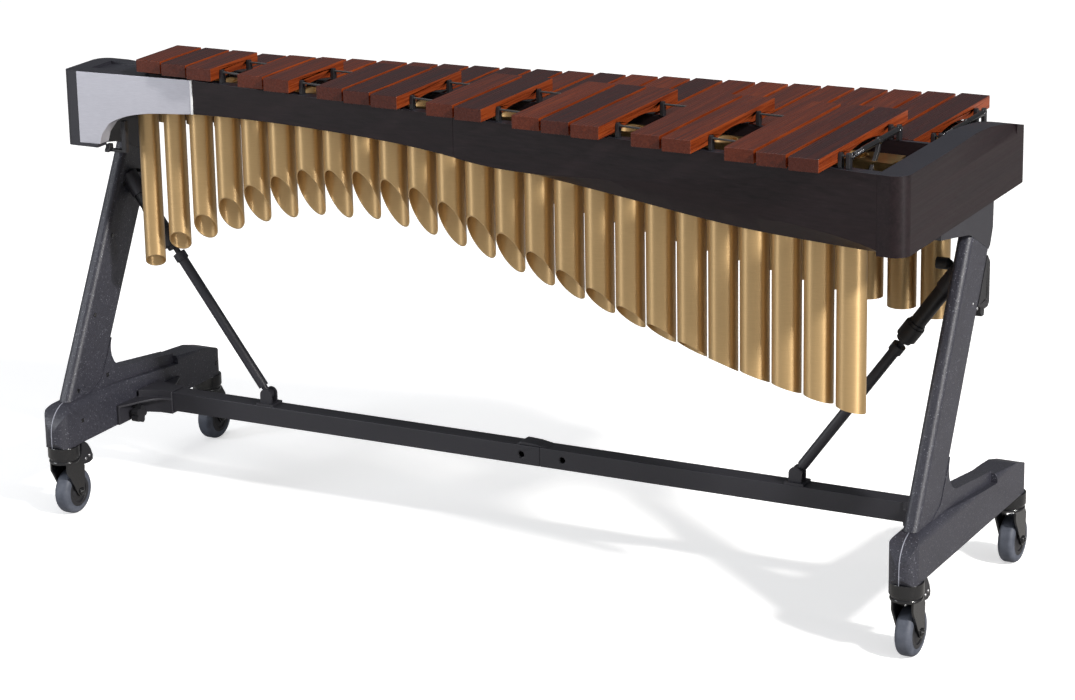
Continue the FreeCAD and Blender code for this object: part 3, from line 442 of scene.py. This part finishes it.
# ---- cord tension links at the low end, with their end blocks and the tension arm
def cord_links():
    wires = bmesh.new()
    sleeves = bmesh.new()
    blocks = bmesh.new()
    turns, per_turn, coil_r, eye_r = 11, 12, 3.4, 4.6
    for x_end, y0, y1, z, base in (ACC_CORDS, NAT_CORDS):
        x = x_end - 3.0
        spring_end = y0 + SPRING_SHARE * (y1 - y0)
        middle = y0 + LINK_MIDDLE * (y1 - y0)
        for y in (y0 + 8.0, y1 - 8.0):
            eye = [(x + 1.0, y + eye_r * math.cos(a), z + eye_r * math.sin(a)) for a in circle(20)]
            add_wire(wires, eye, 1.1)
        coil = []
        for k in range(turns * per_turn + 1):
            a = 2.0 * math.pi * k / per_turn
            y = y0 + 12.0 + (spring_end - y0 - 10.0) * k / (turns * per_turn)
            coil.append((x + coil_r * math.cos(a), y, z + coil_r * math.sin(a)))
        add_wire(wires, coil, 0.8, 6)
        for a, b in ((spring_end, middle - 5.0), (middle + 5.0, y1 - 12.0)):
            run = b - a
            sleeve = [(0, 0), (0, 3.4), (1.5, 4.6), (4, 4.9), (run - 4, 4.9), (run - 1.5, 4.6), (run, 3.4),
                      (run, 0)]
            add_turned(sleeves, (x, a, z), (0, 1, 0), sleeve)
        bulge = [(0, 0), (0, 2.6), (3, 5.4), (6, 6.2), (9, 5.4), (12, 2.6), (12, 0)]
        add_turned(sleeves, (x, middle - 6.0, z), (0, 1, 0), bulge)
        for y in (y0, y1):
            outline = [(y - 5.0, base), (y + 6.0, base), (y + 6.0, z + 0.5), (y + 3.0, z + 5.5),
                       (y - 3.5, z + 5.5), (y - 5.0, z + 2.0)]
            add_plate(blocks, outline, x_end - 8.2, x_end - 1.8)
    middle = ACC_CORDS[1] + LINK_MIDDLE * (ACC_CORDS[2] - ACC_CORDS[1])
    arm = [(middle - 3.0, 793.0), (middle + 4.0, 793.0), (middle - 1.0, 781.0), (middle - 12.0, 768.0),
           (middle - 26.0, 757.0), (middle - 34.0, 757.0), (middle - 22.0, 769.0), (middle - 9.0, 782.0)]
    add_plate(blocks, arm, ACC_CORDS[0] - 6.0, ACC_CORDS[0])
    links = add_piece("cord_tension_springs", wires, DARK_STEEL, "keyboard")
    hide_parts("cord_springs")
    add_piece("cord_tension_sleeves", sleeves, GLOSSY, "keyboard", 0.3)
    add_piece("cord_end_blocks", blocks, PLASTIC, "keyboard", 0.7)


# ---- moulding seams along the fronts of the legs, and the screw plugs on their inner faces
def leg_details():
    for name, side in ENDS:
        seams = bmesh.new()
        nose = [(side * LEG_X, NOSE_Y - 0.2, z) for z in (131.0, 143.0, 155.0)]
        for k in range(1, 8):
            a = math.radians(90.0 * k / 8.0)
            reach = NOSE_R + 0.2
            nose.append((side * LEG_X, NOSE_Y + NOSE_R - reach * math.cos(a), NOSE_Z + reach * math.sin(a)))
        add_wire(seams, nose, 0.9)
        for out in (-4.5, 4.5):
            spots = (-442.0, -330.0, -220.0, -110.0, -3.0)
            add_wire(seams, [column_point(side, s, -40.6, out) for s in spots], 0.8)
        # The pale seam material is a painted highlight along the parting lines.
        add_piece(name + "_leg_seams", seams, SEAM_PAINTED_HIGHLIGHT, "stand")

        plugs = bmesh.new()
        spots = [(column_point(side, s, -22.0, -12.6), LEAN) for s in (-70.0, -163.0, -305.0, -440.0)]
        spots += [((side * (LEG_X - 24.0), y, z), 0.0) for y, z in ((-162.0, 168.0), (262.0, 152.0))]
        spots += [((side * (LEG_X - 13.6), -66.0, 222.0), 0.0)]
        for (x, y, z), turn in spots:
            c, w = math.cos(turn), math.sin(turn)
            square = [(-3.4, -3.4), (3.4, -3.4), (3.4, 3.4), (-3.4, 3.4)]
            outline = [(y + a * c + b * w, z - a * w + b * c) for a, b in square]
            add_plate(plugs, outline, x - side * 0.9, x + side * 2.0)
        add_piece(name + "_screw_plugs", plugs, GLOSSY, "stand", 0.5)

        bolts = bmesh.new()
        small_head = [(0, 2.6), (1.0, 2.4), (1.6, 1.4), (1.8, 0)]
        for s, t in ((-93.0, 18.0), (-96.0, 40.0)):
            add_turned(bolts, column_point(side, s, t, 12.4), (side, 0, 0), small_head, 12)
        large_head = [(0, 5.0), (2.2, 5.0), (3.0, 4.2), (3.2, 0)]
        for z in (540.0, 512.0):
            add_turned(bolts, (side * LEG_X, 111.5, z), (0, 1, 0), large_head, 16)
        add_piece(name + "_clamp_bolts", bolts, STEEL, "stand")


# ---- latch bracket under the high end of the frame
def frame_hook():
    hook = bmesh.new()
    bar = [(-106.0, 649.5), (-106.0, 645.0), (-110.0, 640.0), (-110.0, 636.5), (-94.0, 636.5), (-94.0, 649.5)]
    add_plate(hook, bar, -714.0, -706.0)
    add_plate(hook, [(-104.0, 637.0), (-104.0, 641.5), (-94.0, 641.5), (-94.0, 637.0)], -706.5, -682.0)
    add_plate(hook, [(-104.0, 637.0), (-104.0, 692.0), (-94.0, 692.0), (-94.0, 637.0)], -682.5, -674.0)
    add_piece("high_frame_hook", hook, PLASTIC, "keyboard", 0.8)


# ---- caster details: axle nuts and crown ring, hub caps, rivets on the brake pedals
def caster_details():
    corners = [(f"{name}_{spot}", side, y) for name, side in ENDS for spot, y in CASTER_Y]
    nut = [(0, 7.0), (1.8, 7.0), (2.6, 6.2), (2.8, 3.6), (4.2, 3.4), (4.6, 2.4), (4.7, 0)]
    ring = [(0, 23.5), (0.6, 25.6), (3.2, 26.4), (5.6, 25.6), (6.4, 23.5)]
    disc = [(0.2, 27.0), (1.2, 26.4), (1.4, 24.8), (0.2, 23.6), (-0.6, 21.0), (0.4, 14.5), (1.9, 12.5),
            (2.2, 8.5), (2.2, 4.2)]
    rivet = [(0, 3.1), (0.8, 2.8), (1.4, 1.6), (1.5, 0)]
    for name, side, y in corners:
        x = side * LEG_X
        axle_y = y + AXLE_TRAIL
        nuts = bmesh.new()
        for way in (-1, 1):
            add_turned(nuts, (x + way * 18.5, axle_y, AXLE_Z), (way, 0, 0), nut, 6)
        add_piece(name + "_axle_nuts", nuts, GLOSSY, name + "_caster")

        crown = bmesh.new()
        add_turned(crown, (x, y, CROWN_Z), (0, 0, 1), ring, 40)
        add_piece(name + "_crown_ring", crown, GLOSSY, name + "_caster")

        hub = bmesh.new()
        for way in (-1, 1):
            add_turned(hub, (x + way * 12.0, axle_y, AXLE_Z), (way, 0, 0), disc, 40)
        add_piece(name + "_hub_caps", hub, PLASTIC, name + "_wheel")

        if name.endswith("front"):
            rivets = bmesh.new()
            for way in (-1, 1):
                for dy, dz in ((20.0, 3.0), (31.0, 6.0)):
                    at = (x + way * 14.0, y + BRAKE_TRAIL + dy, BRAKE_Z + dz)
                    add_turned(rivets, at, (way, 0, 0), rivet, 12)
            add_piece(name + "_pedal_rivets", rivets, STEEL, name + "_brake")


cord_links()
leg_details()
frame_hook()
caster_details()


# ---------------------------------------------------------------- studio
def light(name, at, aim, size, power, colour=(1.0, 1.0, 1.0)):
    lamp = bpy.data.lights.new(name, "AREA")
    lamp.shape = "RECTANGLE"
    lamp.size, lamp.size_y = size
    lamp.energy = power
    lamp.color = colour
    holder = bpy.data.objects.new(name, lamp)
    bpy.context.scene.collection.objects.link(holder)
    holder.location = at
    holder.rotation_euler = (Vector(aim) - Vector(at)).to_track_quat("-Z", "Y").to_euler()


def seen_or_felt(tree, seen, felt):
    """A level that is one value where the camera looks and another where surfaces are lit or mirror it."""
    path = tree.nodes.new("ShaderNodeLightPath")
    level = tree.nodes.new("ShaderNodeMapRange")
    level.inputs["To Min"].default_value = felt
    level.inputs["To Max"].default_value = seen
    tree.links.new(path.outputs["Is Camera Ray"], level.inputs["Value"])
    return level.outputs["Result"]


def studio():
    world = bpy.data.worlds.new("studio")
    bpy.context.scene.world = world
    world.use_nodes = True
    tree = world.node_tree
    way = tree.nodes.new("ShaderNodeSeparateXYZ")
    tree.links.new(tree.nodes.new("ShaderNodeTexCoord").outputs["Generated"], way.inputs["Vector"])
    depth = tree.nodes.new("ShaderNodeMapRange")
    depth.interpolation_type = "SMOOTHSTEP"
    for key, value in (("From Min", -0.35), ("From Max", 0.75), ("To Min", 0.42), ("To Max", 0.11)):
        depth.inputs[key].default_value = value
    tree.links.new(way.outputs["Y"], depth.inputs["Value"])
    felt = seen_or_felt(tree, 1.0, 0.0)
    tree.links.new(depth.outputs["Result"], felt.node.inputs["To Min"])
    tree.links.new(felt, tree.nodes["Background"].inputs["Strength"])
    tree.nodes["Background"].inputs["Color"].default_value = (0.95, 0.97, 1.0, 1.0)

    mesh = bpy.data.meshes.new("floor")
    reach = 14.0
    corners = [(-reach, -reach, 0), (reach, -reach, 0), (reach, reach, 0), (-reach, reach, 0)]
    mesh.from_pydata(corners, [], [(0, 1, 2, 3)])
    floor = bpy.data.objects.new("floor", mesh)
    bpy.context.scene.collection.objects.link(floor)
    s = Shade("pale_floor", 0.9)
    s.shader.inputs["Specular IOR Level"].default_value = 0.1
    s.shader.inputs["Emission Color"].default_value = (1.0, 1.0, 1.0, 1.0)
    s.feed(s.shader.inputs["Emission Strength"], seen_or_felt(s.tree, 0.5, 0.0))
    pale = s.mix(s.noise(1.2, detail=2.0), (0.88, 0.88, 0.88), (0.93, 0.93, 0.93))
    grey = s.mix(seen_or_felt(s.tree, 1.0, 0.0), (0.42, 0.41, 0.40), pale)
    mesh.materials.append(s.finish(grey))

    light("key", (9.2, -3.3, 7.0), (0.0, 0.0, 0.5), (1.0, 1.0), 1500.0, (1.0, 0.97, 0.93))
    light("front", (-3.8, -3.6, 1.8), (0.0, 0.0, 0.4), (1.6, 1.8), 95.0, (0.93, 0.96, 1.0))
    light("side", (5.6, -1.4, 0.75), (0.4, 0.0, 0.5), (0.6, 1.4), 70.0)
    light("top", (-0.6, 0.2, 4.2), (0.0, 0.0, 0.6), (2.6, 1.6), 30.0)


def camera():
    azimuth, elevation, roll = math.radians(27.925), math.radians(17.0), math.radians(-1.09)
    forward = Vector((-math.sin(azimuth) * math.cos(elevation), math.cos(azimuth) * math.cos(elevation),
                      -math.sin(elevation)))
    right = Vector((math.cos(azimuth), math.sin(azimuth), 0.0))
    up = right.cross(forward)
    turned = right * math.cos(roll) + up * math.sin(roll)
    up = up * math.cos(roll) - right * math.sin(roll)
    eye = bpy.data.cameras.new("camera")
    eye.sensor_width = 36.0
    eye.lens = 113.9
    eye.clip_start, eye.clip_end = 0.1, 100.0
    holder = bpy.data.objects.new("camera", eye)
    bpy.context.scene.collection.objects.link(holder)
    turn = Matrix((turned, up, -forward)).transposed()
    holder.matrix_world = Matrix.Translation((2.5573, -4.7322, 1.9875)) @ turn.to_4x4()
    bpy.context.scene.camera = holder


studio()
camera()
bpy.context.scene.view_settings.view_transform = "Standard"
